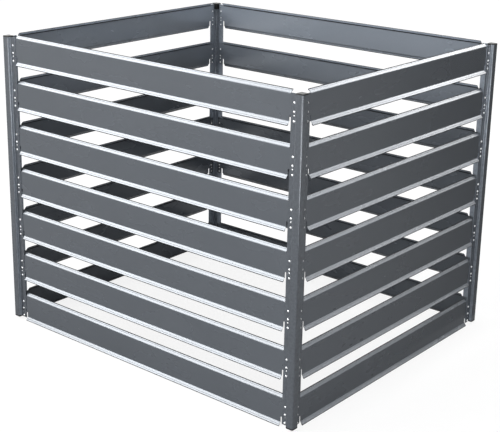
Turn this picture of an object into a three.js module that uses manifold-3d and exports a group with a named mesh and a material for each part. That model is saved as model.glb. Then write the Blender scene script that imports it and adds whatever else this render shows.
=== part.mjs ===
// Slatted sheet-metal compost bin: four folded corner posts with moulded caps and feet, and seven
// folded slats on each of the four sides. The bin is open above and below.
// Millimetres, +Z up, front towards -Y. The origin is on the ground at the middle of the bin.

import * as THREE from 'three';
import { mergeVertices } from 'three/addons/utils/BufferGeometryUtils.js';
import Module from 'manifold-3d';

// Overall sizes
const WIDTH = 1150; // across the front, over the posts
const DEPTH = 985; // front to back, over the posts
const SLAT_PITCH = 140;
const SLATS_PER_SIDE = 7;

// Slat: one folded sheet, its upper leaf leaning in and its lower leaf leaning out
const SLAT_SHEET = 1.2;
const WEB_HEIGHT = 72.5; // between the two creases
const LEAF_WIDTH = 13.3;
const LEAF_ANGLE = (2 * Math.PI) / 9; // away from upright
const CREASE_RADIUS = 3; // to the middle of the sheet
const HEM_WIDTH = 6; // edge folded flat under each leaf

// Slat end: a flat tongue behind the post's wing, and an open slit beside it
const TONGUE_CLEARANCE = 2; // channel's side to the tongue's tip
const TONGUE_DROP = 4.5; // below the lower crease
const TONGUE_CORNER = 4;
const UPPER_LEAF_STOP = 3; // wing's edge to the end of the upper leaf
const SLIT_WIDTH = 5.5;
const SLIT_HEIGHT = 16.5; // above the lower crease
const SLIT_CLEARANCE = 0.5; // wing's edge to the slit

// Corner post: one folded sheet, a square channel with a set-back wing on each side
const POST_SHEET = 1.5;
const CHANNEL_WIDTH = 24; // over each outer face
const CORNER_RADIUS = 4; // outside
const FOLD_RADIUS = 2.25; // to the middle of the sheet
const WING_SETBACK = 10.5; // outer face to the wing's face
const WING_EDGE = 45; // outer corner to the wing's free edge

// Moulded cap and foot, each with a hollow plug that stands in the channel
const CAP_THICKNESS = 3;
const CAP_CHAMFER = 0.8;
const CAP_BELOW_SLAT = 5; // top of the highest slat down to the cap's top
const FOOT_THICKNESS = 4;
const FOOT_CHAMFER = 1;
const FOOT_BELOW_CREASE = 5; // lowest crease down to the foot's underside
const PLUG_DEPTH = 18;
const PLUG_WALL = 2;
const SHARPEST_CORNER = 0.4;

const SEAT_GAP = 0.3; // between pieces that bear on each other
const OVERRUN = 5; // how far a cutter runs past what it cuts
const WELD = 0.0003; // corners this near are one
const FOLD_STEPS = 3;
const ROUND_STEPS = 5;
const QUARTER = Math.PI / 2;

const PAINT = { color: 0x54565b, metalness: 0.35, roughness: 0.42 };
const PLASTIC = { color: 0x1d1f20, metalness: 0, roughness: 0.6 };

const wasm = await Module();
wasm.setup();

// Turns a closed geometry into a solid that can be joined and cut.
function toSolid(geometry) {
  const bare = geometry.clone();
  bare.deleteAttribute('normal');
  bare.deleteAttribute('uv');
  const merged = mergeVertices(bare, WELD);
  const mesh = new wasm.Mesh({
    numProp: 3,
    vertProperties: new Float32Array(merged.attributes.position.array),
    triVerts: new Uint32Array(merged.index.array),
  });
  return new wasm.Manifold(mesh);
}

function toGeometry(solid) {
  const mesh = solid.getMesh();
  const geometry = new THREE.BufferGeometry();
  geometry.setAttribute('position', new THREE.BufferAttribute(new Float32Array(mesh.vertProperties), 3));
  geometry.setIndex(new THREE.BufferAttribute(new Uint32Array(mesh.triVerts), 1));
  geometry.computeVertexNormals();
  return geometry;
}

function extrude(shape, depth) {
  return new THREE.ExtrudeGeometry(shape, { depth, bevelEnabled: false, curveSegments: ROUND_STEPS });
}

// Solid from a shape drawn in X and Y, from one height to another.
const raise = (shape, from, to) => toSolid(extrude(shape, to - from).translate(0, 0, from));

// Solid from a shape drawn in X and Z, from one Y to a larger Y.
const raiseUpright = (shape, from, to) =>
  toSolid(extrude(shape, to - from).rotateX(QUARTER).translate(0, to, 0));

// Solid from a shape drawn in Y and Z, from one X to a larger X.
const raiseAlong = (shape, from, to) =>
  toSolid(extrude(shape, to - from).rotateX(QUARTER).rotateZ(QUARTER).translate(from, 0, 0));

function block(xRange, yRange, zRange) {
  const ranges = [xRange, yRange, zRange];
  const size = ranges.map(([low, high]) => high - low);
  const middle = ranges.map(([low, high]) => (low + high) / 2);
  return toSolid(new THREE.BoxGeometry(...size).translate(...middle));
}

// Middle line of a folded sheet: straight runs between corners, each corner rounded to its radius.
function foldLine(corners) {
  const line = [corners[0].at.clone()];
  for (let i = 1; i < corners.length - 1; i += 1) {
    const { at, radius } = corners[i];
    const back = corners[i - 1].at.clone().sub(at).normalize();
    const ahead = corners[i + 1].at.clone().sub(at).normalize();
    const inside = Math.acos(back.dot(ahead));
    const inward = back.clone().add(ahead).normalize();
    const centre = at.clone().addScaledVector(inward, radius / Math.sin(inside / 2));
    const start = at.clone().addScaledVector(back, radius / Math.tan(inside / 2)).sub(centre);
    const sweep = -Math.sign(back.cross(ahead)) * (Math.PI - inside);
    for (let step = 0; step <= FOLD_STEPS; step += 1) {
      const spoke = start.clone().rotateAround(new THREE.Vector2(), (sweep * step) / FOLD_STEPS);
      line.push(centre.clone().add(spoke));
    }
  }
  line.push(corners[corners.length - 1].at.clone());
  return line;
}

// The same line moved sideways, to the left of its run, with its corners mitred.
function offsetLine(line, reach) {
  const leftOf = (i) => {
    const run = line[i + 1].clone().sub(line[i]).normalize();
    return new THREE.Vector2(-run.y, run.x);
  };
  return line.map((point, i) => {
    const before = leftOf(Math.max(i - 1, 0));
    const after = leftOf(Math.min(i, line.length - 2));
    const mitre = before.clone().add(after).normalize();
    return point.clone().addScaledVector(mitre, reach / mitre.dot(after));
  });
}

// Half circle at a hem, from the point given by a spoke round to the opposite side of its centre.
function hemNose(centre, spoke) {
  const points = [];
  for (let step = 0; step <= FOLD_STEPS; step += 1) {
    const turned = spoke.clone().rotateAround(new THREE.Vector2(), (Math.PI * step) / FOLD_STEPS);
    points.push(centre.clone().add(turned));
  }
  return points;
}

// Slat section, drawn with X inward from the middle of the web and Y up from the lower crease.
// Each leaf's edge is folded flat on its under side, so there the section is two sheets thick.
function slatSection() {
  const leaf = new THREE.Vector2(Math.sin(LEAF_ANGLE), Math.cos(LEAF_ANGLE));
  const under = new THREE.Vector2(leaf.y, -leaf.x);
  const lowerCrease = new THREE.Vector2(0, 0);
  const upperCrease = new THREE.Vector2(0, WEB_HEIGHT);
  const lowerEdge = lowerCrease.clone().addScaledVector(leaf, -LEAF_WIDTH);
  const upperEdge = upperCrease.clone().addScaledVector(leaf, LEAF_WIDTH);
  const line = foldLine([
    { at: lowerEdge },
    { at: lowerCrease, radius: CREASE_RADIUS },
    { at: upperCrease, radius: CREASE_RADIUS },
    { at: upperEdge },
  ]);
  const bends = (side) => side.slice(1, -1);
  const innerSide = bends(offsetLine(line, -SLAT_SHEET / 2));
  const outerSide = bends(offsetLine(line, SLAT_SHEET / 2)).reverse();
  const hemSide = (edge, along, depth) =>
    edge.clone().addScaledVector(leaf, along).addScaledVector(under, depth + SLAT_SHEET / 2);
  const outward = under.clone().multiplyScalar(-SLAT_SHEET);
  const noseCentre = (edge, along) => hemSide(edge, along, 0);
  return new THREE.Shape([
    ...hemNose(noseCentre(lowerEdge, SLAT_SHEET), outward),
    hemSide(lowerEdge, HEM_WIDTH, SLAT_SHEET),
    hemSide(lowerEdge, HEM_WIDTH, 0),
    ...innerSide,
    hemSide(upperEdge, -HEM_WIDTH, 0),
    hemSide(upperEdge, -HEM_WIDTH, SLAT_SHEET),
    ...hemNose(noseCentre(upperEdge, -SLAT_SHEET), outward.clone().negate()),
    ...outerSide,
  ]);
}

// Tongue outline in the slat's X and Z, for the end at +X.
function tongueShape(root, tip) {
  const top = WEB_HEIGHT - CREASE_RADIUS * Math.tan(LEAF_ANGLE / 2);
  const shape = new THREE.Shape();
  shape.moveTo(root, top);
  shape.lineTo(root, -TONGUE_DROP);
  shape.absarc(tip - TONGUE_CORNER, TONGUE_CORNER - TONGUE_DROP, TONGUE_CORNER, -QUARTER, 0);
  shape.lineTo(tip, top);
  return shape;
}

// Slit outline in the slat's X and Z, open below and round above.
function slitShape(near) {
  const radius = SLIT_WIDTH / 2;
  const bottom = -LEAF_WIDTH - OVERRUN;
  const shape = new THREE.Shape();
  shape.moveTo(near, bottom);
  shape.lineTo(near + SLIT_WIDTH, bottom);
  shape.absarc(near + radius, SLIT_HEIGHT - radius, radius, 0, Math.PI);
  return shape;
}

// One slat in its own frame: X along the run, Y inward from the middle of the web, Z up from the
// lower crease. The side's length is measured over the posts.
function slatGeometry(sideLength) {
  const reach = sideLength / 2;
  const upperLeafEnd = reach - WING_EDGE - UPPER_LEAF_STOP;
  const slitNear = reach - WING_EDGE - SLIT_CLEARANCE - SLIT_WIDTH;
  const leafReach = LEAF_WIDTH + OVERRUN;
  const lowerLeafEnd = block([slitNear, reach], [-leafReach, leafReach], [-leafReach, CREASE_RADIUS]);
  const tip = reach - CHANNEL_WIDTH - TONGUE_CLEARANCE;
  const tongue = raiseUpright(tongueShape(slitNear, tip), -SLAT_SHEET / 2, SLAT_SHEET / 2);
  const slit = raiseUpright(slitShape(slitNear), -leafReach, leafReach);
  const atBothEnds = (solid) => solid.add(solid.mirror([1, 0, 0]));
  const folded = raiseAlong(slatSection(), -upperLeafEnd, upperLeafEnd);
  const cropped = folded.subtract(atBothEnds(lowerLeafEnd));
  return toGeometry(cropped.add(atBothEnds(tongue)).subtract(atBothEnds(slit)));
}

// Post section: outer corner at the origin, X and Y running inward along the two faces.
function postSection() {
  const face = POST_SHEET / 2;
  const turn = CHANNEL_WIDTH - POST_SHEET / 2;
  const wing = WING_SETBACK + POST_SHEET / 2;
  const line = foldLine([
    { at: new THREE.Vector2(WING_EDGE, wing) },
    { at: new THREE.Vector2(turn, wing), radius: FOLD_RADIUS },
    { at: new THREE.Vector2(turn, face), radius: FOLD_RADIUS },
    { at: new THREE.Vector2(face, face), radius: CORNER_RADIUS - POST_SHEET / 2 },
    { at: new THREE.Vector2(face, turn), radius: FOLD_RADIUS },
    { at: new THREE.Vector2(wing, turn), radius: FOLD_RADIUS },
    { at: new THREE.Vector2(wing, WING_EDGE) },
  ]);
  const innerSide = offsetLine(line, POST_SHEET / 2);
  const outerSide = offsetLine(line, -POST_SHEET / 2);
  return new THREE.Shape([...outerSide, ...innerSide.reverse()]);
}

// Heights: the bin stands on the lower edges of its lowest slats, and the feet end just above them.
// The caps lie just under the highest slats' upper edges.
const slatBottom = Math.min(...slatSection().getPoints().map((point) => point.y));
const creaseHeight = (level) => level * SLAT_PITCH - slatBottom;
const slatTop = creaseHeight(SLATS_PER_SIDE - 1) + WEB_HEIGHT - slatBottom;
const footBottom = creaseHeight(0) - FOOT_BELOW_CREASE;
const postBottom = footBottom + FOOT_THICKNESS + SEAT_GAP;
const postTop = slatTop - CAP_BELOW_SLAT - CAP_THICKNESS - SEAT_GAP;

const roundedBy = (radius, inset) => Math.max(radius - inset, SHARPEST_CORNER);

// Outline of the post's channel, inset evenly all round.
function channelShape(inset) {
  const middle = CHANNEL_WIDTH / 2;
  const half = middle - inset;
  const outerFold = FOLD_RADIUS + POST_SHEET / 2;
  const shape = new THREE.Shape();
  [CORNER_RADIUS, outerFold, outerFold, outerFold].forEach((radius, index) => {
    const kept = roundedBy(radius, inset);
    const start = Math.PI + index * QUARTER;
    const x = middle + (half - kept) * Math.sign(Math.cos(start + QUARTER / 2));
    const y = middle + (half - kept) * Math.sign(Math.sin(start + QUARTER / 2));
    shape.absarc(x, y, kept, start, start + QUARTER);
  });
  return shape;
}

// Moulded end piece: a plate with a chamfered far side, and a hollow plug. Drawn with the plate
// below Z = 0, where the post meets it, and the plug above.
function endPieceGeometry(thickness, chamfer) {
  const plate = new THREE.ExtrudeGeometry(channelShape(chamfer), {
    depth: thickness - chamfer,
    bevelThickness: chamfer,
    bevelSize: chamfer,
    bevelSegments: 1,
    curveSegments: FOLD_STEPS,
  });
  const span = [-OVERRUN, CHANNEL_WIDTH + OVERRUN];
  const nearSide = block(span, span, [0, thickness]);
  const plugInset = POST_SHEET + SEAT_GAP;
  const plug = raise(channelShape(plugInset), -thickness / 2, PLUG_DEPTH);
  const bore = raise(channelShape(plugInset + PLUG_WALL), 0, PLUG_DEPTH + OVERRUN);
  const flatPlate = toSolid(plate.translate(0, 0, chamfer - thickness)).subtract(nearSide);
  return toGeometry(flatPlate.add(plug).subtract(bore));
}

// The four sides, each with the turn that carries the front onto it.
const sides = [
  { name: 'front', length: WIDTH, distance: DEPTH / 2, turn: 0 },
  { name: 'right', length: DEPTH, distance: WIDTH / 2, turn: QUARTER },
  { name: 'back', length: WIDTH, distance: DEPTH / 2, turn: 2 * QUARTER },
  { name: 'left', length: DEPTH, distance: WIDTH / 2, turn: 3 * QUARTER },
];

// The four corners, each with the turn that carries the front left corner onto it.
const corners = [
  { name: 'front_left', x: -WIDTH / 2, y: -DEPTH / 2, turn: 0 },
  { name: 'front_right', x: WIDTH / 2, y: -DEPTH / 2, turn: QUARTER },
  { name: 'back_right', x: WIDTH / 2, y: DEPTH / 2, turn: 2 * QUARTER },
  { name: 'back_left', x: -WIDTH / 2, y: DEPTH / 2, turn: 3 * QUARTER },
];

function namedMesh(name, geometry, finish) {
  const mesh = new THREE.Mesh(geometry, new THREE.MeshStandardMaterial(finish));
  mesh.name = name;
  return mesh;
}

// One side: its slats' webs lie behind the posts' wings, a seat's gap clear of them.
function sideGroup(side) {
  const group = new THREE.Group();
  group.rotation.z = side.turn;
  const webDepth = WING_SETBACK + POST_SHEET + SEAT_GAP + SLAT_SHEET / 2;
  const geometry = slatGeometry(side.length);
  for (let level = 0; level < SLATS_PER_SIDE; level += 1) {
    const slat = namedMesh(`${side.name}_slat_${level + 1}`, geometry, PAINT);
    slat.position.set(0, webDepth - side.distance, creaseHeight(level));
    group.add(slat);
  }
  return group;
}

// One corner: the post stands on its foot and carries its cap, which is the end piece turned over.
function cornerGroup(corner) {
  const group = new THREE.Group();
  group.position.set(corner.x, corner.y, 0);
  group.rotation.z = corner.turn;
  const folded = toGeometry(raise(postSection(), postBottom, postTop));
  const post = namedMesh(`${corner.name}_post`, folded, PAINT);
  const cap = namedMesh(`${corner.name}_cap`, endPieceGeometry(CAP_THICKNESS, CAP_CHAMFER), PLASTIC);
  const foot = namedMesh(`${corner.name}_foot`, endPieceGeometry(FOOT_THICKNESS, FOOT_CHAMFER), PLASTIC);
  cap.position.z = postTop + SEAT_GAP;
  cap.rotation.set(Math.PI, 0, -QUARTER);
  foot.position.z = footBottom + FOOT_THICKNESS;
  group.add(post, cap, foot);
  return group;
}

const bin = new THREE.Group();
bin.name = 'compost_bin';
bin.add(...corners.map(cornerGroup), ...sides.map(sideGroup));

export default bin;
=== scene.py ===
"""Looks of a slatted sheet-metal compost bin: folded posts and slats, studs, end caps, paint and studio.

Metres, +Z up, front towards -Y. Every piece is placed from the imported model's own boxes.
"""

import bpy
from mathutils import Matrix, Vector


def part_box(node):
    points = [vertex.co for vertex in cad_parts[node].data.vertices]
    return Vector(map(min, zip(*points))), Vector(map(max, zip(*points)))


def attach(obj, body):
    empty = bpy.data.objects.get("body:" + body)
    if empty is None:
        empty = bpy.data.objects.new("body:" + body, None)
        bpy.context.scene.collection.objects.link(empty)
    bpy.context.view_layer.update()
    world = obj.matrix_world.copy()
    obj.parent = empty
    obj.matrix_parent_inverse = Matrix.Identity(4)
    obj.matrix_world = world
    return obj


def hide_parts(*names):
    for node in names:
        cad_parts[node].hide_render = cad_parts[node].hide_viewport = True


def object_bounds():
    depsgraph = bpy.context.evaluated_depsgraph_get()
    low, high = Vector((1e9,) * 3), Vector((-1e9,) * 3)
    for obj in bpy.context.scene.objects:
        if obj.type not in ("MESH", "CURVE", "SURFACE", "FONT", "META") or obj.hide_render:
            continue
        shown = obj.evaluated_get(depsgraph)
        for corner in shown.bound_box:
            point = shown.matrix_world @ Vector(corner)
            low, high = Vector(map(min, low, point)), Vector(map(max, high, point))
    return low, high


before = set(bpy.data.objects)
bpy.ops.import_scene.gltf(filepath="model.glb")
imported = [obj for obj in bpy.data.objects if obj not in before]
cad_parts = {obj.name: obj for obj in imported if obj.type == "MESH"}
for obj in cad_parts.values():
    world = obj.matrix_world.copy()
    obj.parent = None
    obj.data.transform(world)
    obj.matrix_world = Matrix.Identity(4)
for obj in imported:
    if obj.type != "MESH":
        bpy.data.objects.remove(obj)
CAD_BOX = [list(corner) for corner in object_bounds()]

import logging
import math
from dataclasses import dataclass, field, replace
from enum import Enum
from typing import Callable, Iterable, Mapping, Sequence, TypeAlias

import bmesh
import bpy
from bmesh.types import BMEdge, BMesh, BMFace, BMVert
from bpy.types import Material, Mesh, Node, NodeSocket, Object, World
from mathutils import Matrix, Vector

log = logging.getLogger("bin")

UP = Vector((0.0, 0.0, 1.0))
ALONG = Vector((1.0, 0.0, 0.0))
INWARD = Vector((0.0, 1.0, 0.0))
QUARTER = math.pi / 2
HAIR = 1e-6
FLAT_ANGLE = math.radians(0.5)
SHARP_ANGLE = math.radians(65)
EDGE_ON = 0.1
WHITE = (1.0, 1.0, 1.0, 1.0)
BODY = "root"

Feed: TypeAlias = "Reading | NodeSocket | float | Sequence[float]"
Inputs: TypeAlias = "Mapping[str | int, Feed] | None"
Span: TypeAlias = tuple[float, float]
Triple: TypeAlias = tuple[float, float, float]


class Turned(Enum):
    """Places round the bin, each with the quarter turns that carry the first one onto it."""

    @property
    def turn(self) -> Matrix:
        """The rotation that carries the first place onto this one."""
        return Matrix.Rotation(self.value * QUARTER, 4, "Z")

    @property
    def label(self) -> str:
        """The place's words in node names."""
        return self.name.lower()


class Side(Turned):
    """The four sides."""

    FRONT = 0
    RIGHT = 1
    BACK = 2
    LEFT = 3


class Corner(Turned):
    """The four corners."""

    FRONT_LEFT = 0
    FRONT_RIGHT = 1
    BACK_RIGHT = 2
    BACK_LEFT = 3

    def outermost(self, low: Vector, high: Vector) -> Vector:
        """Foot of the outer vertical edge of a box that stands at this corner."""
        right, back = (word in self.name for word in ("RIGHT", "BACK"))
        return Vector((high.x if right else low.x, high.y if back else low.y, low.z))


class Slot(Enum):
    """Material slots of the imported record."""

    POST = "painted_post"
    SLAT = "painted_slat"
    PLASTIC = "moulded_plastic"
    ZINC = "zinc_stud"


# Shader maths


def maths(operation: str, reflected: bool = False) -> Callable[..., "Reading"]:
    """Makes an operator that adds one Math node.

    Args:
        operation: The node's operation.
        reflected: Whether the reading stands on the right.

    Returns:
        The operator, as a method of a reading.
    """

    def combine(reading: "Reading", other: Feed = 0.0) -> "Reading":
        """The reading, combined with a number or another reading."""
        pair = {0: other, 1: reading} if reflected else {0: reading, 1: other}
        return reading.graph.read("ShaderNodeMath", {"operation": operation}, pair)

    return combine


class Reading:
    """A number on its way through a node tree, with Python's own operators.

    Its fraction is what is left after the whole number, its size has no sign, and at_most and at_least
    give the smaller and the larger of two.
    """

    def __init__(self, graph: "Graph", socket: NodeSocket) -> None:
        """Wraps one output socket of a graph."""
        self.graph = graph
        self.socket = socket

    __add__ = __radd__ = maths("ADD")
    __sub__, __rsub__ = maths("SUBTRACT"), maths("SUBTRACT", reflected=True)
    __mul__ = __rmul__ = maths("MULTIPLY")
    __truediv__, __rtruediv__ = maths("DIVIDE"), maths("DIVIDE", reflected=True)
    fraction, size = maths("FRACT"), maths("ABSOLUTE")
    at_most, at_least = maths("MINIMUM"), maths("MAXIMUM")


class Graph:
    """A node tree, with one way to add a node."""

    def __init__(self, owner: Material | World) -> None:
        """Empties the node tree.

        Args:
            owner: The material or world that it belongs to.
        """
        owner.use_nodes = True
        self.owner, self.tree = owner, owner.node_tree
        self.tree.nodes.clear()

    def add(self, kind: str, settings: Mapping[str, object] | None = None, inputs: Inputs = None) -> Node:
        """Adds a node, sets it up, then feeds its sockets.

        Args:
            kind: The node's type.
            settings: Its own settings, which come first.
            inputs: Values, sockets or readings for its inputs, by name or place.

        Returns:
            The new node.
        """
        node = self.tree.nodes.new(kind)
        for name, value in (settings or {}).items():
            setattr(node, name, value)
        for key, value in (inputs or {}).items():
            source = value.socket if isinstance(value, Reading) else value
            if isinstance(source, NodeSocket):
                self.tree.links.new(source, node.inputs[key])
            else:
                node.inputs[key].default_value = source
        return node

    def plain(self, kind: str, inputs: Inputs = None, output: str | int = 0) -> NodeSocket:
        """One output of a node that needs no settings."""
        return self.add(kind, None, inputs).outputs[output]

    def read(self, kind: str, settings: Mapping[str, object] | None, inputs: Inputs) -> Reading:
        """The number that a node gives."""
        return Reading(self, self.add(kind, settings, inputs).outputs[0])

    def show(self, kind: str, inputs: Inputs, end: str = "ShaderNodeOutputMaterial") -> Material | World:
        """Ends the tree with a shader, and gives the tree's owner."""
        self.add(end, None, {"Surface": self.plain(kind, inputs)})
        return self.owner

    def mix_colour(self, share: Feed, first: Feed, second: Feed) -> NodeSocket:
        """The first colour, with a share of the second."""
        return self.add("ShaderNodeMix", {"data_type": "RGBA"}, {0: share, 6: first, 7: second}).outputs[2]

    def vector(self, operation: str, inputs: Inputs) -> Node:
        """A Vector Math node."""
        return self.add("ShaderNodeVectorMath", {"operation": operation}, inputs)

    def tint(self, colour: Triple, brightness: Feed) -> NodeSocket:
        """A colour times a brightness."""
        return self.vector("SCALE", {0: colour, "Scale": brightness}).outputs[0]

    def bump(self, relief: Reading, height: float, strength: float) -> NodeSocket:
        """The normal of a surface with a fine relief."""
        return self.plain("ShaderNodeBump", {"Strength": strength, "Distance": height, "Height": relief})

    def place(self) -> NodeSocket:
        """Object coordinates."""
        return self.plain("ShaderNodeTexCoord", output="Object")

    def normal(self) -> NodeSocket:
        """The surface's normal."""
        return self.plain("ShaderNodeNewGeometry", output="Normal")

    def noise(self, vector: Feed, scale: float, detail: float = 3.0) -> Reading:
        """Noise from 0 to 1, with so many cells in a metre and so many octaves."""
        return self.read("ShaderNodeTexNoise", None, {"Vector": vector, "Scale": scale, "Detail": detail})

    def ramp(self, value: Feed, low: float, high: float) -> Reading:
        """A smooth step from 0 at low to 1 at high."""
        inputs = {"Value": value, "From Min": low, "From Max": high}
        return self.read("ShaderNodeMapRange", {"interpolation_type": "SMOOTHSTEP"}, inputs)

    def band(self, value: Reading, middle: float, half: float) -> Reading:
        """A soft-edged band, 1 within half of the middle and 0 beyond twice that."""
        return 1.0 - self.ramp((value - middle).size(), half, 2 * half)

    def part(self, vector: Feed, axis: int) -> Reading:
        """One axis of a vector."""
        return Reading(self, self.plain("ShaderNodeSeparateXYZ", {0: vector}, axis))

    def along(self, vector: Feed, other: Feed) -> Reading:
        """The dot product of two vectors."""
        return Reading(self, self.vector("DOT_PRODUCT", {0: vector, 1: other}).outputs["Value"])


def opaque(colour: Sequence[float]) -> tuple[float, ...]:
    """A colour with its alpha."""
    return (*colour, 1.0)


def looks_inward(graph: Graph, place: Feed, normal: Feed) -> Reading:
    """1 on faces that look into the bin and 0 on those that look out."""
    level = graph.vector("MULTIPLY", {0: place, 1: (1.0, 1.0, 0.0)}).outputs[0]
    return 1.0 - graph.ramp(graph.along(level, normal), -EDGE_ON, EDGE_ON)


@dataclass(frozen=True)
class FoldLines:
    """Where the slats' folds and edges lie, and the painted shade and painted highlight that mark them."""

    first: float
    pitch: float
    web: float
    leaf_rise: float
    # Widths and strengths of the painted shade bands in the creases and along the edges.
    crease_half: float = 0.0013
    foot_half: float = 0.0006
    foot_share: float = 0.7
    edge_width: float = 0.0018
    edge_full_share: float = 0.8

    def marks(self, graph: Graph, place: Feed, inward: Reading) -> tuple[Reading, Reading]:
        """Finds the painted shade lines, and the inner faces of the upper leaves, which carry a painted
        highlight.

        Args:
            graph: The material's graph.
            place: Object coordinates.
            inward: 1 on faces that look into the bin.

        Returns:
            How dark the painted shade in a crease or on an edge is, and 1 on such a leaf's painted
            highlight.
        """
        step = (graph.part(place, 2) - self.first) / self.pitch + 0.5
        height = (step.fraction() - 0.5) * self.pitch
        crease = graph.band(height, self.web / 2, self.crease_half)
        foot = graph.band(height, -self.web / 2, self.foot_half) * self.foot_share
        reach = self.web / 2 + self.leaf_rise
        full = reach - self.edge_width * self.edge_full_share
        edge = graph.ramp(height.size(), reach - self.edge_width, full)
        # Painted shade: darker in the inner creases and along the leaves' edges, where shade falls.
        dark = ((crease + foot) * inward).at_least(edge).at_most(1.0)
        start = self.web / 2 + 2 * self.crease_half
        # Painted highlight on the upper leaves' inner faces, standing in for the floor's reflection.
        return dark, graph.ramp(height, start - self.crease_half / 2, start) * inward


@dataclass(frozen=True)
class PowderCoat:
    """Satin anthracite powder coat with a fine metallic flake.

    The colour drifts a little from cloud to cloud, the inward faces near the top carry painted light,
    dust lies on what faces up, and the coat's skin is finely rippled, as sprayed and baked powder is.
    With fold lines, the slats also carry painted shade along creases and edges and a painted highlight on
    the upper leaves.
    """

    name: str
    colour: Triple
    lines: FoldLines | None = None
    # Painted highlight on the upper leaves' inner faces, and painted shade on the fold lines.
    leaf_gain: float = 1.6
    line_shade: float = 0.9
    line_roughness: float = 0.6
    # Painted light: inward faces near the top are made lighter.
    bleach_heights: Span = (0.58, 0.92)
    bleach_gain: float = 1.5
    metallic: float = 0.42
    roughness: float = 0.27
    coat: float = 0.8
    coat_roughness: float = 0.16
    cloud_scale: float = 2.6
    cloud_share: float = 0.14
    cloud_roughness: float = 0.04
    streak_scale: float = 7.0
    streak_stretch: float = 2.5
    streak_share: float = 0.07
    streak_roughness: float = 0.05
    mottle_scale: float = 140.0
    mottle_share: float = 0.06
    flake_scale: float = 1500.0
    flake_share: float = 0.08
    ripple_scale: float = 620.0
    ripple_height: float = 0.000014
    ripple_strength: float = 0.35
    dust_colour: Triple = (0.36, 0.35, 0.33)
    dust_share: float = 0.1
    dust_slopes: Span = (0.35, 0.95)
    dust_clouds: Span = (0.35, 0.7)
    dust_roughness: float = 1.5

    def material(self) -> Material:
        """Builds the finish.

        Returns:
            The node material.
        """
        graph = Graph(bpy.data.materials.new(self.name))
        place, normal = graph.place(), graph.normal()
        stretched = graph.add(
            "ShaderNodeMapping", {"vector_type": "POINT"},
            {"Vector": place, "Scale": (1.0, 1.0, self.streak_stretch)},
        ).outputs[0]
        cloud = graph.noise(place, self.cloud_scale)
        streak = graph.noise(stretched, self.streak_scale)
        flake = graph.noise(place, self.flake_scale, detail=1.0)
        ripple = graph.noise(place, self.ripple_scale, detail=2.0)
        mottle = graph.noise(place, self.mottle_scale)
        settled = graph.ramp(graph.part(normal, 2), *self.dust_slopes)
        dust = settled * graph.ramp(cloud, *self.dust_clouds) * self.dust_share
        drift = (cloud - 0.5) * self.cloud_share + (streak - 0.5) * self.streak_share
        brightness = 1.0 + drift + (flake - 0.5) * self.flake_share + (mottle - 0.5) * self.mottle_share
        # Painted light on the inward faces near the top.
        raised = graph.ramp(graph.part(place, 2), *self.bleach_heights)
        inward = looks_inward(graph, place, normal)
        brightness *= 1.0 + raised * inward * self.bleach_gain
        coat = self.coat
        rough = self.roughness + (streak - 0.5) * self.streak_roughness
        rough = rough + (cloud - 0.5) * self.cloud_roughness + dust * self.dust_roughness
        # Painted shade in the slats' inner creases and along their edges, and a painted highlight on the
        # upper leaves' inner faces.
        if self.lines:
            dark, leaf = self.lines.marks(graph, place, inward)
            brightness *= (1.0 - dark * self.line_shade) * (1.0 + leaf * self.leaf_gain)
            coat = self.coat * (1.0 - dark)
            rough += dark * self.line_roughness
        tint = graph.tint(self.colour, brightness)
        return graph.show("ShaderNodeBsdfPrincipled", {
            "Base Color": graph.mix_colour(dust, tint, opaque(self.dust_colour)),
            "Metallic": self.metallic,
            "Roughness": rough,
            "Coat Weight": coat,
            "Coat Roughness": self.coat_roughness,
            "Normal": graph.bump(ripple, self.ripple_height, self.ripple_strength),
        })


@dataclass(frozen=True)
class MouldedPlastic:
    """Matt black plastic with a spark-eroded grain and a patchy painted sheen on its level top."""

    name: str
    colour: Triple = (0.009, 0.0093, 0.0097)
    # Painted sheen: colour and strength of the lighter grey on the level top faces.
    bloom: Triple = (0.155, 0.157, 0.152)
    bloom_share: float = 0.75
    bloom_least: float = 0.4
    bloom_slopes: Span = (0.985, 0.998)
    patch_scale: float = 90.0
    patch_roughness: float = 0.2
    roughness: float = 0.6
    specular: float = 0.25
    grain_scale: float = 1400.0
    grain_height: float = 0.00004
    grain_strength: float = 0.5

    def material(self) -> Material:
        """Builds the finish.

        Returns:
            The node material.
        """
        graph = Graph(bpy.data.materials.new(self.name))
        place = graph.place()
        grain = graph.noise(place, self.grain_scale, detail=2.0)
        patch = graph.noise(place, self.patch_scale)
        # Painted sheen: the level top is made lighter grey, in patches.
        level = graph.ramp(graph.part(graph.normal(), 2), *self.bloom_slopes)
        bloom = (level * (self.bloom_least + patch) * self.bloom_share).at_most(1.0)
        return graph.show("ShaderNodeBsdfPrincipled", {
            "Base Color": graph.mix_colour(bloom, opaque(self.colour), opaque(self.bloom)),
            "Roughness": self.roughness + (patch - 0.5) * self.patch_roughness,
            "Specular IOR Level": self.specular,
            "Normal": graph.bump(grain, self.grain_height, self.grain_strength),
        })


@dataclass(frozen=True)
class ZincPlate:
    """Bright zinc plating, faintly clouded and brushed."""

    name: str
    colour: Triple = (0.93, 0.935, 0.94)
    roughness: float = 0.46
    cloud_scale: float = 260.0
    cloud_least: float = 0.9
    cloud_share: float = 0.2
    cloud_roughness: float = 0.15
    brush_scale: float = 2400.0
    brush_height: float = 0.00002
    brush_strength: float = 0.3

    def material(self) -> Material:
        """Builds the finish.

        Returns:
            The node material.
        """
        graph = Graph(bpy.data.materials.new(self.name))
        place = graph.place()
        cloud = graph.noise(place, self.cloud_scale)
        brush = graph.noise(place, self.brush_scale, detail=1.0)
        return graph.show("ShaderNodeBsdfPrincipled", {
            "Base Color": graph.tint(self.colour, self.cloud_least + cloud * self.cloud_share),
            "Metallic": 1.0,
            "Roughness": self.roughness + (cloud - 0.5) * self.cloud_roughness,
            "Normal": graph.bump(brush, self.brush_height, self.brush_strength),
        })


# Sheet-metal work


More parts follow.
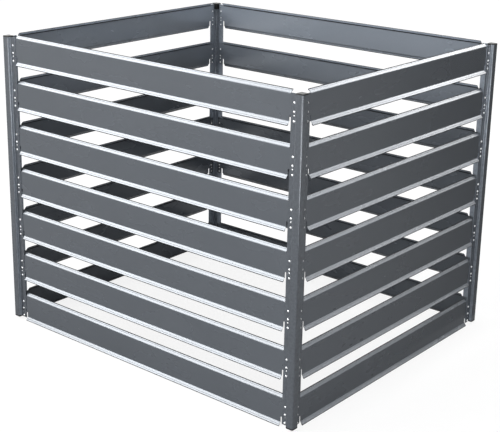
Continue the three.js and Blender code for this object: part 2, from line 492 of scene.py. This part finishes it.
def only(items: Iterable[object], kind: type) -> list:
    """The items of one kind."""
    return [item for item in items if isinstance(item, kind)]


def round_off(mesh: BMesh, geom: list, reach: float, steps: int, affect: str = "EDGES") -> list[BMFace]:
    """Rounds edges, or an outline's corners, and gives the new faces."""
    return bmesh.ops.bevel(
        mesh, geom=geom, offset=reach, offset_type="OFFSET", affect=affect,
        segments=steps, profile=0.5, material=-1,
    )["faces"]


def draw_out(mesh: BMesh, face: BMFace, rise: float) -> BMFace:
    """Draws a level face up, or down.

    Args:
        mesh: The mesh it belongs to.
        face: The face.
        rise: How far up, negative for down.

    Returns:
        The face at its new height.
    """
    drawn = only(bmesh.ops.extrude_face_region(mesh, geom=[face])["geom"], BMFace)[0]
    bmesh.ops.translate(mesh, vec=UP * rise, verts=drawn.verts)
    return drawn


def inset(mesh: BMesh, face: BMFace, width: float) -> None:
    """Draws a face's outline inwards by a width."""
    bmesh.ops.inset_region(mesh, faces=[face], thickness=width, use_even_offset=True)


def baked(mesh: BMesh, name: str) -> Mesh:
    """Turns a bmesh into a mesh and frees it.

    Args:
        mesh: The bmesh.
        name: The mesh's name.

    Returns:
        The mesh.
    """
    made = bpy.data.meshes.new(name)
    mesh.to_mesh(made)
    mesh.free()
    return made


class Sheet:
    """A sheet-metal blank as an open surface at the middle of the sheet, folded, cut and punched."""

    def __init__(self, run: Vector, corners: Sequence[Vector]) -> None:
        """Rolls the sheet out along its section.

        Args:
            run: From one end of the folded section to the other.
            corners: The section's corners at the first end.
        """
        self.mesh = bmesh.new()
        first = self.mesh.verts.new(corners[0])
        last = self.mesh.verts.new(corners[0] + run)
        self.bends = [self.mesh.edges.new((first, last))]
        for before, after in zip(corners, corners[1:]):
            made = bmesh.ops.extrude_edge_only(self.mesh, edges=[self.bends[-1]])["geom"]
            verts = only(made, BMVert)
            bmesh.ops.translate(self.mesh, vec=after - before, verts=verts)
            rolled = [edge for edge in only(made, BMEdge) if all(vert in verts for vert in edge.verts)]
            self.bends.append(rolled[0])

    def fold(self, bends: Iterable[int], reach: float, steps: int) -> None:
        """Rounds some of the bends.

        Args:
            bends: Their places in the section.
            reach: The length taken from each flat.
            steps: Flats in each bend.
        """
        for bend in bends:
            for face in round_off(self.mesh, [self.bends[bend]], reach, steps):
                face.smooth = True

    def score(self, normal: Vector, distance: float, faces: Iterable[BMFace] | None = None) -> None:
        """Cuts edges into the sheet along a plane.

        Args:
            normal: The plane's normal.
            distance: How far along the normal the plane lies.
            faces: The faces to cut, or all of them.
        """
        chosen = list(self.mesh.faces if faces is None else faces)
        edges = {edge for face in chosen for edge in face.edges}
        verts = {vert for face in chosen for vert in face.verts}
        bmesh.ops.bisect_plane(
            self.mesh, geom=[*verts, *edges, *chosen], dist=HAIR / 10,
            plane_co=normal * distance, plane_no=normal,
        )

    def remove(self, inside: Callable[[Vector], bool]) -> None:
        """Removes the faces whose middle a test picks."""
        gone = [face for face in self.mesh.faces if inside(face.calc_center_median())]
        bmesh.ops.delete(self.mesh, geom=gone, context="FACES")

    def face_at(self, point: Vector) -> BMFace:
        """The flat face that a point lies on.

        Args:
            point: A point on the sheet's surface.

        Returns:
            The smallest face whose box holds the point and whose plane passes through it.
        """
        found = []
        for face in self.mesh.faces:
            if abs((point - face.verts[0].co).dot(face.normal)) > 10 * HAIR:
                continue
            spans = [(min(v.co[i] for v in face.verts), max(v.co[i] for v in face.verts)) for i in range(3)]
            if all(low - HAIR <= point[i] <= high + HAIR for i, (low, high) in enumerate(spans)):
                found.append((face.calc_area(), len(found), face))
        return min(found)[2]

    def punch(self, centre: Vector, across: Vector, upward: Vector, radius: float) -> None:
        """Punches a small eight-sided hole.

        Args:
            centre: The hole's middle, on a flat of the sheet.
            across: A unit vector in the sheet.
            upward: The unit vector in the sheet square to it.
            radius: From the middle to the hole's flats.
        """
        self.mesh.normal_update()
        for step in (0, 2, 4, 6, 1, 3, 5, 7):
            angle = step * QUARTER / 2
            outward = across * math.cos(angle) + upward * math.sin(angle)
            self.score(outward, centre.dot(outward) + radius, [self.face_at(centre)])
            self.mesh.normal_update()
        bmesh.ops.delete(self.mesh, geom=[self.face_at(centre)], context="FACES")

    def flatten(self) -> None:
        """Joins the faces that lie in one plane."""
        verts, edges = self.mesh.verts, self.mesh.edges
        bmesh.ops.dissolve_limit(self.mesh, angle_limit=FLAT_ANGLE, verts=verts, edges=edges)

    def round_corner(self, point: Vector, reach: float, steps: int) -> None:
        """Rounds the outline at the vertex nearest to a point."""
        nearest = min(self.mesh.verts, key=lambda vert: (vert.co - point).length)
        round_off(self.mesh, [nearest], reach, steps, "VERTICES")

    def finished(self, name: str) -> Mesh:
        """Turns the sheet into a mesh and frees it.

        Args:
            name: The mesh's name.

        Returns:
            The mesh, still one face thick.
        """
        bmesh.ops.remove_doubles(self.mesh, verts=self.mesh.verts, dist=HAIR)
        bmesh.ops.recalc_face_normals(self.mesh, faces=self.mesh.faces)
        return baked(self.mesh, name)


def make_piece(name: str, mesh: Mesh, matrix: Matrix, material: Material) -> Object:
    """Makes a piece from a mesh, with its place in the mesh.

    Args:
        name: The piece's name.
        mesh: Its mesh, in its own frame.
        matrix: From its own frame to the bin's.
        material: Its finish.

    Returns:
        The piece, riding on the bin's body.
    """
    mesh.transform(matrix)
    mesh.materials.clear()
    mesh.materials.append(material)
    piece = bpy.data.objects.new(name, mesh)
    bpy.context.scene.collection.objects.link(piece)
    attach(piece, BODY)
    log.info("%s: %d faces before any thickness", name, len(mesh.polygons))
    return piece


def thicken(piece: Object, sheet: float, edge: float) -> None:
    """Gives a folded surface its sheet's thickness and breaks its sheared edges.

    Args:
        piece: The piece.
        sheet: The sheet's thickness.
        edge: Width of the broken edge.
    """
    wall = piece.modifiers.new("sheet", "SOLIDIFY")
    wall.thickness = sheet
    wall.offset = 0.0
    wall.use_even_offset = True
    rim = piece.modifiers.new("edge", "BEVEL")
    rim.width = edge
    rim.segments = 2
    rim.limit_method = "ANGLE"
    rim.angle_limit = SHARP_ANGLE
    rim.profile = 0.5
    rim.use_clamp_overlap = True


@dataclass(frozen=True)
class Wing:
    """What a slat's end and a post's wing share, measured from the bin's outer corner."""

    setback: float = 0.0105
    edge: float = 0.045
    channel: float = 0.024
    tongue_clearance: float = 0.002
    stud_drops: tuple[float, ...] = (0.022, 0.0455, 0.07)
    spare_drop: float = 0.0555
    spare_radius: float = 0.0026
    post_sheet: float = 0.0015
    slat_sheet: float = 0.0012
    seat_gap: float = 0.0003

    @property
    def line(self) -> float:
        """Outer corner to the line of studs, the middle of the wing."""
        return (self.channel + self.edge) / 2

    @property
    def post_depth(self) -> float:
        """The bin's outer face to the middle of the post's wing."""
        return self.setback + self.post_sheet / 2

    @property
    def slat_depth(self) -> float:
        """The bin's outer face to the middle of the slat's web."""
        return self.setback + self.post_sheet + self.seat_gap + self.slat_sheet / 2


@dataclass
class Slats:
    """The folded slats, seven a side: a web, two leaves with hemmed edges, slits and tongues."""

    wing: Wing
    coat: PowderCoat
    web: float = 0.0725
    leaf: float = 0.0133
    leaf_play: float = 0.0001
    leaf_angle: float = math.radians(40)
    crease_radius: float = 0.003
    crease_bends: Sequence[int] = (6, 7)
    crease_steps: int = 5
    hem: float = 0.006
    hem_gap: float = 0.00004
    hem_bends: Sequence[int] = (1, 2, 11, 12)
    hem_steps: int = 4
    hem_round_share: float = 0.98
    groove_width: float = 0.0012
    groove_depth: float = 0.00022
    leaf_stop: float = 0.003
    slit_width: float = 0.0055
    slit_height: float = 0.0165
    slit_clearance: float = 0.0005
    slit_round_share: float = 0.995
    tongue_drop: float = 0.0045
    tongue_corner: float = 0.004
    corner_steps: int = 5
    broken_edge: float = 0.00018
    per_side: int = 7

    @property
    def levels(self) -> range:
        """The slats' numbers on one side, from the ground up."""
        return range(1, self.per_side + 1)

    def _leaf(self, crease: Vector, outward: Vector) -> list[Vector]:
        """Corners of one leaf.

        Args:
            crease: Where the leaf leaves the web.
            outward: The unit vector from there to its edge.

        Returns:
            From the hem's free edge round the leaf's edge, and through the pressed groove to the crease.
        """
        under = Vector((0.0, math.cos(self.leaf_angle), -math.sin(self.leaf_angle)))
        fold = self.wing.slat_sheet + self.hem_gap
        edge = crease + outward * (self.leaf - self.wing.slat_sheet / 2 - self.leaf_play)
        line = crease + outward * (self.leaf - self.hem)
        half = outward * (self.groove_width / 2)
        return [
            line + under * fold, edge + under * fold, edge,
            line + half, line + under * self.groove_depth, line - half, crease,
        ]

    def section(self) -> list[Vector]:
        """Corners of the section, from the lower hem round to the upper one.

        Returns:
            The corners about the web's middle, X along the run, Y inward and Z up.
        """
        crease = UP * (self.web / 2)
        outward = Vector((0.0, math.sin(self.leaf_angle), math.cos(self.leaf_angle)))
        return [*self._leaf(-crease, -outward), *reversed(self._leaf(crease, outward))]

    def blank(self, length: float) -> Mesh:
        """One slat's middle surface.

        Args:
            length: The side's length over the posts.

        Returns:
            The mesh in the slat's own frame, X along the run, Y inward, Z up from the web's middle.
        """
        reach = length / 2
        tip = reach - self.wing.channel - self.wing.tongue_clearance
        stop = reach - self.wing.edge - self.leaf_stop
        slit_far = reach - self.wing.edge - self.slit_clearance
        slit_near = slit_far - self.slit_width
        crease = self.crease_radius * math.tan(self.leaf_angle / 2)
        flat = self.web / 2 - crease
        slit_top = self.slit_height - self.web / 2
        sheet = Sheet(ALONG * (2 * tip), [point - ALONG * tip for point in self.section()])
        hem_round = (self.wing.slat_sheet + self.hem_gap) / 2 * self.hem_round_share
        sheet.fold(self.hem_bends, hem_round, self.hem_steps)
        sheet.fold(self.crease_bends, crease, self.crease_steps)
        for end in (-1, 1):
            for at in (stop, slit_near, slit_far):
                sheet.score(ALONG * end, at)
        sheet.score(UP, slit_top)
        sheet.remove(lambda at: abs(at.x) > stop and at.z > flat + HAIR)
        sheet.remove(lambda at: abs(at.x) > slit_near and at.z < -flat - HAIR)
        sheet.remove(lambda at: slit_near < abs(at.x) < slit_far and at.z < slit_top)
        self._drop_tongues(sheet, slit_far, flat)
        spare = UP * (self.web / 2 - self.wing.spare_drop)
        for end in (-1, 1):
            hole = ALONG * (end * (reach - self.wing.line)) + spare
            sheet.punch(hole, ALONG, UP, self.wing.spare_radius)
        sheet.flatten()
        slit_round = self.slit_width / 2 * self.slit_round_share
        bottom = UP * (-self.web / 2 - self.tongue_drop)
        for end in (-1, 1):
            for at in (slit_near, slit_far):
                sheet.round_corner(ALONG * (end * at) + UP * slit_top, slit_round, self.corner_steps)
            sheet.round_corner(ALONG * (end * tip) + bottom, self.tongue_corner, self.corner_steps)
        return sheet.finished(f"slat_{round(length * 1000)}")

    def _drop_tongues(self, sheet: Sheet, slit_far: float, flat: float) -> None:
        """Draws the tongues down past the lower crease.

        Args:
            sheet: The slat, with its slits cut.
            slit_far: Middle of the slat to the slits' far sides.
            flat: Web's middle to where its flat ends.
        """
        rims = [
            edge for edge in sheet.mesh.edges
            if edge.is_boundary and all(
                abs(v.co.z + flat) < 10 * HAIR and abs(v.co.x) > slit_far - HAIR for v in edge.verts
            )
        ]
        made = bmesh.ops.extrude_edge_only(sheet.mesh, edges=rims)["geom"]
        drop = self.web / 2 - flat + self.tongue_drop
        bmesh.ops.translate(sheet.mesh, vec=UP * -drop, verts=only(made, BMVert))

    def length(self, node: str) -> float:
        """The side's length over the posts, from a slat's box."""
        low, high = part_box(node)
        return max(high.x - low.x, high.y - low.y) + 2 * (self.wing.channel + self.wing.tongue_clearance)

    def middle(self, side: Side, level: int) -> Vector:
        """Middle of a slat's web.

        Args:
            side: The slat's side.
            level: The slat's number, from the ground up.

        Returns:
            The point on the middle of the sheet.
        """
        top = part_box(f"{side.label}_slat_{level}")[1].z
        sheet = self.wing.slat_sheet
        rise = (self.leaf - sheet) * math.cos(self.leaf_angle) + sheet * (1 - math.sin(self.leaf_angle) / 2)
        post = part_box("front_left_post")[0]
        across = -(post.y if side in (Side.FRONT, Side.BACK) else post.x) - self.wing.slat_depth
        return UP * (top - rise - self.web / 2) - side.turn @ INWARD * across

    def lines(self) -> FoldLines:
        """Finds the folds and edges for the slats' painted shade and highlight.

        Returns:
            The lines, from the two lowest front slats.
        """
        first = self.middle(Side.FRONT, 1).z
        pitch = self.middle(Side.FRONT, 2).z - first
        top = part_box("front_slat_1")[1].z
        return FoldLines(first, pitch, self.web, top - first - self.web / 2)

    def build(self) -> None:
        """Builds and places every slat, in the place of its node."""
        finish = replace(self.coat, lines=self.lines()).material()
        blanks: dict[float, Mesh] = {}
        for side in Side:
            for level in self.levels:
                node = f"{side.label}_slat_{level}"
                length = round(self.length(node), 4)
                if length not in blanks:
                    blanks[length] = self.blank(length)
                matrix = Matrix.Translation(self.middle(side, level)) @ side.turn
                piece = make_piece(f"{node}_sheet", blanks[length].copy(), matrix, finish)
                thicken(piece, self.wing.slat_sheet, self.broken_edge)
                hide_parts(node)


@dataclass
class Posts:
    """The four corner posts, each one sheet folded to a channel with a set-back wing on each side."""

    wing: Wing
    slats: Slats
    coat: PowderCoat
    corner_radius: float = 0.004
    corner_bends: Sequence[int] = (3,)
    corner_steps: int = 7
    fold_radius: float = 0.00225
    fold_bends: Sequence[int] = (1, 2, 4, 5)
    fold_steps: int = 5
    broken_edge: float = 0.0002

    def section(self) -> list[Vector]:
        """Corners of the section, from one wing's free edge round to the other's.

        Returns:
            The corners from the outer corner, X and Y running inward along the two faces.
        """
        face = self.wing.post_sheet / 2
        turn = self.wing.channel - face
        back = self.wing.post_depth
        half = [(self.wing.edge, back), (turn, back), (turn, face)]
        points = [*half, (face, face), *[(y, x) for x, y in reversed(half)]]
        return [Vector((x, y, 0.0)) for x, y in points]

    def blank(self, height: float, holes: Sequence[float]) -> Mesh:
        """One post's middle surface.

        Args:
            height: The post's length.
            holes: Heights of the spare holes above its lower end.

        Returns:
            The mesh in the front left post's own frame, its outer corner at the origin.
        """
        sheet = Sheet(UP * height, self.section())
        sheet.fold(self.fold_bends, self.fold_radius, self.fold_steps)
        sheet.fold(self.corner_bends, self.corner_radius - self.wing.post_sheet / 2, self.corner_steps)
        for hole in holes:
            for across, face in ((ALONG, INWARD), (INWARD, ALONG)):
                centre = across * self.wing.line + face * self.wing.post_depth + UP * hole
                sheet.punch(centre, across, UP, self.wing.spare_radius)
        sheet.flatten()
        return sheet.finished("post")

    def build(self) -> None:
        """Builds and places every post, in the place of its node."""
        finish = self.coat.material()
        low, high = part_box("front_left_post")
        holes = [
            self.slats.middle(Side.FRONT, level).z + self.slats.web / 2 - self.wing.spare_drop - low.z
            for level in self.slats.levels
        ]
        blank = self.blank(high.z - low.z, holes)
        for corner in Corner:
            node = f"{corner.label}_post"
            matrix = Matrix.Translation(corner.outermost(*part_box(node))) @ corner.turn
            piece = make_piece(f"{node}_sheet", blank.copy(), matrix, finish)
            thicken(piece, self.wing.post_sheet, self.broken_edge)
            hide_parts(node)


@dataclass
class EndPieces:
    """Moulded caps and feet: a rounded plate over the post's channel, and a hollow plug inside it."""

    wing: Wing
    plastic: MouldedPlastic
    outer_radius: float = 0.004
    inner_radius: float = 0.003
    corner_steps: int = 5
    plug_inset: float = 0.0018
    plug_wall: float = 0.0011
    rim_radius: float = 0.0005
    rim_steps: int = 3
    crown: float = 0.0004
    crown_step: float = 0.001
    crown_steps: int = 2

    def plate(self, thickness: float, plug: float) -> Mesh:
        """One end piece, its plug downwards.

        Args:
            thickness: The plate's thickness.
            plug: The plug's depth under the plate.

        Returns:
            The mesh in the front left corner's frame, the plate's underside at height 0.
        """
        mesh = bmesh.new()
        half = self.wing.channel / 2
        bmesh.ops.create_grid(mesh, x_segments=1, y_segments=1, size=half)
        bmesh.ops.translate(mesh, vec=(half, half, 0.0), verts=mesh.verts)
        outer = min(mesh.verts, key=lambda vert: vert.co.length)
        others = [vert for vert in mesh.verts if vert is not outer]
        round_off(mesh, [outer], self.outer_radius, self.corner_steps, "VERTICES")
        round_off(mesh, others, self.inner_radius, self.corner_steps, "VERTICES")
        top = draw_out(mesh, mesh.faces[:][0], thickness - self.crown)
        for face in round_off(mesh, list(top.edges), self.rim_radius, self.rim_steps):
            face.smooth = True
        top = max(mesh.faces, key=lambda face: face.calc_center_median().z)
        for _ in range(self.crown_steps):
            inset(mesh, top, self.crown_step)
            bmesh.ops.translate(mesh, vec=UP * (self.crown / self.crown_steps), verts=top.verts)
        under = min(mesh.faces, key=lambda face: face.calc_center_median().z)
        inset(mesh, under, self.plug_inset)
        under = draw_out(mesh, under, -plug)
        inset(mesh, under, self.plug_wall)
        draw_out(mesh, under, plug)
        bmesh.ops.recalc_face_normals(mesh, faces=mesh.faces)
        return baked(mesh, "end_piece")

    def build(self) -> None:
        """Builds and places every cap and foot, in the place of its node."""
        finish = self.plastic.material()
        for corner in Corner:
            low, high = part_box(f"{corner.label}_post")
            for kind in ("cap", "foot"):
                node = f"{corner.label}_{kind}"
                bottom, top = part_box(node)
                seat, far = (high.z, top.z) if kind == "cap" else (low.z, bottom.z)
                thickness = abs(far - seat)
                mesh = self.plate(thickness, (top.z - bottom.z) - thickness)
                if kind == "foot":
                    mesh.transform(Matrix.Scale(-1.0, 4, UP))
                    mesh.flip_normals()
                matrix = Matrix.Translation(Vector((*corner.outermost(bottom, top).xy, seat))) @ corner.turn
                piece = make_piece(f"{node}_moulding", mesh, matrix, finish)
                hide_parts(node)


@dataclass(frozen=True)
class Head:
    """A stud's radius and rise outside the post, and inside the slat's tongue."""

    radius: float
    rise: float
    tail_radius: float
    tail_rise: float


@dataclass
class Studs:
    """Bright studs through the post's wing and the slat's tongue: three at each end, and a small rivet."""

    wing: Wing
    slats: Slats
    zinc: ZincPlate
    stud: Head = Head(radius=0.0034, rise=0.0017, tail_radius=0.0028, tail_rise=0.0012)
    rivet: Head = Head(radius=0.0022, rise=0.0007, tail_radius=0.0022, tail_rise=0.0006)
    first_rivet_level: int = 2
    rim_share: float = 0.72
    rise_share: float = 0.74
    steps: int = 10

    def turned(self, head: Head, through: float) -> Mesh:
        """One stud, spun round its axis.

        Args:
            head: Its radii and rises.
            through: Thickness of what it fastens.

        Returns:
            The stud along Y, the outer sheet's face at the origin and its head towards -Y.
        """
        mesh = bmesh.new()
        profile = [
            (0.0, -head.rise),
            (head.radius * self.rim_share, -head.rise * self.rise_share),
            (head.radius, 0.0),
            (head.tail_radius, through),
            (head.tail_radius * self.rim_share, through + head.tail_rise * self.rise_share),
            (0.0, through + head.tail_rise),
        ]
        verts = [mesh.verts.new((x, y, 0.0)) for x, y in profile]
        edges = [mesh.edges.new(pair) for pair in zip(verts, verts[1:])]
        bmesh.ops.spin(
            mesh, geom=[*verts, *edges], cent=(0, 0, 0), axis=INWARD, angle=2 * math.pi,
            steps=self.steps, use_merge=True,
        )
        bmesh.ops.remove_doubles(mesh, verts=mesh.verts, dist=HAIR)
        bmesh.ops.recalc_face_normals(mesh, faces=mesh.faces)
        for face in mesh.faces:
            face.smooth = not 0 < face.calc_center_median().y < through
        return baked(mesh, "stud")

    def build(self) -> None:
        """Builds one group of studs for each side."""
        finish = self.zinc.material()
        through = self.wing.post_sheet + self.wing.seat_gap + self.wing.slat_sheet
        stud, rivet = self.turned(self.stud, through), self.turned(self.rivet, through)
        for side in Side:
            group = bmesh.new()
            for level in self.slats.levels:
                reach = self.slats.length(f"{side.label}_slat_{level}") / 2
                outward = side.turn @ -INWARD
                face = self.slats.middle(side, level) + outward * (through - self.wing.slat_sheet / 2)
                fixings = [(drop, stud) for drop in self.wing.stud_drops]
                if level >= self.first_rivet_level:
                    fixings.append((self.wing.spare_drop, rivet))
                for end in (-1, 1):
                    sideways = side.turn @ ALONG * (end * (reach - self.wing.line))
                    for drop, template in fixings:
                        centre = face + sideways + UP * (self.slats.web / 2 - drop)
                        copy = template.copy()
                        copy.transform(Matrix.Translation(centre) @ side.turn)
                        group.from_mesh(copy)
                        bpy.data.meshes.remove(copy)
            name = f"{side.label}_studs"
            make_piece(name, baked(group, name), Matrix.Identity(4), finish)


# Studio


def towards(azimuth: float, elevation: float) -> Vector:
    """The unit vector to an azimuth, counted from the front to the right, and an elevation."""
    level = math.cos(elevation)
    return Vector((math.sin(azimuth) * level, -math.cos(azimuth) * level, math.sin(elevation)))


@dataclass(frozen=True)
class Softbox:
    """A soft area lamp, aimed at the middle of the bin from an azimuth and an elevation in degrees."""

    name: str
    at: Span
    distance: float
    size: Span
    radiance: float

    def hang(self, target: Vector, gloss_only: bool) -> None:
        """Hangs the lamp.

        Args:
            target: What it is aimed at.
            gloss_only: Whether only gloss shows it.
        """
        outward = towards(*map(math.radians, self.at))
        data = bpy.data.lights.new(self.name, "AREA")
        data.shape = "RECTANGLE"
        data.size, data.size_y = self.size
        data.energy = self.radiance * math.pi * self.size[0] * self.size[1]
        lamp = bpy.data.objects.new(self.name, data)
        lamp.location = target + outward * self.distance
        lamp.rotation_mode = "QUATERNION"
        lamp.rotation_quaternion = outward.to_track_quat("Z", "Y")
        lamp.visible_camera = False
        lamp.visible_diffuse = not gloss_only
        bpy.context.scene.collection.objects.link(lamp)


@dataclass(frozen=True)
class Viewpoint:
    """The photograph's camera: its eye, its direction in degrees, and its lens in the picture's pixels."""

    eye: Triple = (2.2509, -2.7291, 1.5654)
    azimuth: float = 39.4315
    elevation: float = 17.3615
    roll: float = 1.1127
    focal_pixels: float = 1167.5
    centre_row: float = 186.0
    image_width: int = 500
    image_height: int = 432
    sensor: float = 36.0
    far_clip: float = 100.0

    def set_up(self) -> None:
        """Makes the camera and gives it to the scene."""
        azimuth, elevation, roll = map(math.radians, (self.azimuth, self.elevation, self.roll))
        back = towards(azimuth, elevation)
        level = Vector((math.cos(azimuth), math.sin(azimuth), 0.0))
        right = level * math.cos(roll) + back.cross(level) * math.sin(roll)
        data = bpy.data.cameras.new("photo_camera")
        data.sensor_width = self.sensor
        data.lens = self.focal_pixels * self.sensor / self.image_width
        data.shift_y = (self.centre_row - self.image_height / 2) / self.image_width
        data.clip_end = self.far_clip
        camera = bpy.data.objects.new("photo_camera", data)
        turn = Matrix((right, back.cross(right), back)).transposed()
        camera.matrix_world = Matrix.Translation(Vector(self.eye)) @ turn.to_4x4()
        bpy.context.scene.collection.objects.link(camera)
        bpy.context.scene.camera = camera


@dataclass
class Studio:
    """A pale floor, a pale surround, soft lamps and the camera.

    Eye and gloss see a white floor and surround. Near the bin the gloss sees the floor's own grey, and
    behind the right side a cloth that darkens further back and a dimmer surround.
    """

    floor_reach: float = 60.0
    floor_albedo: float = 0.3
    shadow_share: float = 0.16
    grey_to_white: Span = (5.0, 12.0)
    flag_low: Span = (0.6, -2.0)
    flag_high: Span = (9.0, 12.0)
    flag_rise: float = 0.004
    flag_slope: Triple = (-1.4, 1.0, 0.0)
    flag_fade: Span = (-1.3, 0.3)
    flag_dark: float = 0.06
    bright_side: float = 1.0
    dim_side: float = 0.34
    dim_until: float = -0.5
    bright_towards: Triple = (-0.77, -0.64, 0.0)
    lamps: list[Softbox] = field(default_factory=lambda: [
        Softbox("front_key", at=(-57.0, 38.0), distance=9.0, size=(6.0, 4.6), radiance=7.4),
        Softbox("back_fill", at=(170.5, 38.0), distance=12.0, size=(5.5, 5.5), radiance=7.0),
        Softbox("back_fade", at=(153.0, 34.0), distance=12.0, size=(3.4, 5.5), radiance=2.2),
        Softbox("corner_glint", at=(40.0, 3.0), distance=4.0, size=(0.5, 1.2), radiance=14.0),
        Softbox("near_side", at=(52.0, 6.0), distance=2.9, size=(0.8, 1.2), radiance=3.2),
        Softbox("front_fill", at=(-14.0, 14.0), distance=6.0, size=(4.0, 2.6), radiance=2.3),
    ])
    gloss_lamps: list[Softbox] = field(default_factory=lambda: [
        Softbox("gloss_front", at=(-22.0, 38.0), distance=9.0, size=(3.4, 4.6), radiance=4.0),
        Softbox("gloss_right", at=(50.0, 39.0), distance=9.0, size=(5.6, 4.6), radiance=4.6),
        Softbox("gloss_back", at=(116.0, 38.0), distance=9.0, size=(4.4, 4.6), radiance=4.6),
        Softbox("gloss_left", at=(-135.0, 39.0), distance=9.0, size=(6.6, 4.6), radiance=4.6),
    ])

    def seen(self, graph: Graph, gloss_share: Reading) -> Reading:
        """Which rays see the white background.

        Args:
            graph: The material's or the world's graph.
            gloss_share: How white it is to glossy rays.

        Returns:
            1 on rays from the camera or through clear things, the share on glossy ones, and 0 on the rest.
        """
        rays = graph.add("ShaderNodeLightPath").outputs
        names = ("Is Camera Ray", "Is Transmission Ray", "Is Glossy Ray")
        camera, through, glossy = (Reading(graph, rays[name]) for name in names)
        return camera.at_least(through).at_least(glossy * gloss_share)

    def lay(self, name: str, low: Vector, high: Vector) -> tuple[Object, Graph]:
        """Lays a level sheet that isn't part of the bin.

        Args:
            name: Its name, and its material's.
            low: Its corner at the left and front.
            high: Its corner at the right and back.

        Returns:
            The sheet, and its material's empty graph.
        """
        mesh = bmesh.new()
        bmesh.ops.create_grid(mesh, x_segments=1, y_segments=1, size=0.5)
        bmesh.ops.scale(mesh, vec=(high.x - low.x, high.y - low.y, 1.0), verts=mesh.verts)
        bmesh.ops.translate(mesh, vec=(low + high) / 2, verts=mesh.verts)
        sheet = bpy.data.objects.new(name, baked(mesh, name))
        bpy.context.scene.collection.objects.link(sheet)
        graph = Graph(bpy.data.materials.new(name))
        sheet.data.materials.append(graph.owner)
        return sheet, graph

    def lay_floor(self) -> None:
        """Lays the floor: white to the eye with the bin's soft shadow, and grey to the light."""
        reach = Vector((self.floor_reach, self.floor_reach, 0.0))
        graph = self.lay("studio_floor", -reach, reach)[1]
        lit = graph.plain("ShaderNodeBsdfDiffuse", {"Color": WHITE})
        white = graph.plain("ShaderNodeEmission", {"Color": WHITE, "Strength": 1.0})
        shown = graph.plain("ShaderNodeMixShader", {0: self.shadow_share, 1: white, 2: lit})
        grey = graph.plain("ShaderNodeBsdfDiffuse", {"Color": opaque((self.floor_albedo,) * 3)})
        away = Reading(graph, graph.vector("LENGTH", {0: graph.place()}).outputs["Value"])
        beyond = graph.ramp(away, *self.grey_to_white)
        graph.show("ShaderNodeMixShader", {0: self.seen(graph, beyond), 1: grey, 2: shown})

    def lay_flag(self) -> None:
        """Lays a cloth behind the right side, darker further back, which only the gloss sees."""
        low, high = (Vector((*corner, self.flag_rise)) for corner in (self.flag_low, self.flag_high))
        flag, graph = self.lay("studio_flag", low, high)
        flag.visible_camera = False
        flag.visible_diffuse = False
        flag.visible_transmission = False
        flag.visible_shadow = False
        depth = graph.ramp(graph.along(graph.place(), self.flag_slope), *self.flag_fade)
        pale, dark = (opaque((level,) * 3) for level in (self.floor_albedo, self.flag_dark))
        graph.show("ShaderNodeBsdfDiffuse", {"Color": graph.mix_colour(depth, pale, dark)})

    def light_world(self) -> None:
        """Lights the surround: white where it is seen, and brighter on one side where it lights."""
        graph = Graph(bpy.data.worlds.new("studio_surround"))
        bpy.context.scene.world = graph.owner
        heading = graph.plain("ShaderNodeTexCoord", output="Generated")
        side = graph.ramp(graph.along(heading, self.bright_towards), self.dim_until, 1.0)
        lit = self.dim_side + side * (self.bright_side - self.dim_side)
        seen = self.seen(graph, side)
        strength = lit * (1.0 - seen) + seen
        graph.show("ShaderNodeBackground", {"Color": WHITE, "Strength": strength}, "ShaderNodeOutputWorld")

    def set_up(self, target: Vector) -> None:
        """Builds the studio round the bin.

        Args:
            target: What the lamps are aimed at.
        """
        self.lay_floor()
        self.lay_flag()
        self.light_world()
        for lamp in self.lamps:
            lamp.hang(target, gloss_only=False)
        for lamp in self.gloss_lamps:
            lamp.hang(target, gloss_only=True)
        Viewpoint().set_up()
        bpy.context.scene.view_settings.view_transform = "Standard"


def main() -> None:
    """Builds the bin and its studio."""
    logging.basicConfig(level=logging.INFO, format="%(name)s %(message)s")
    wing = Wing()
    slats = Slats(wing, PowderCoat("slat_powder_coat", colour=(0.113, 0.127, 0.146)))
    post_coat = PowderCoat(
        "post_powder_coat", colour=(0.106, 0.119, 0.137), mottle_share=0.8, streak_stretch=0.2,
        # Painted light on all the posts' inward faces.
        bleach_heights=(-0.6, -0.1), bleach_gain=1.6,
    )
    slats.build()
    Posts(wing, slats, post_coat).build()
    EndPieces(wing, MouldedPlastic("black_plastic")).build()
    Studs(wing, slats, ZincPlate("bright_zinc")).build()
    low, high = (Vector(corner) for corner in CAD_BOX)
    Studio().set_up((low + high) / 2)


if __name__ == "__main__":
    main()
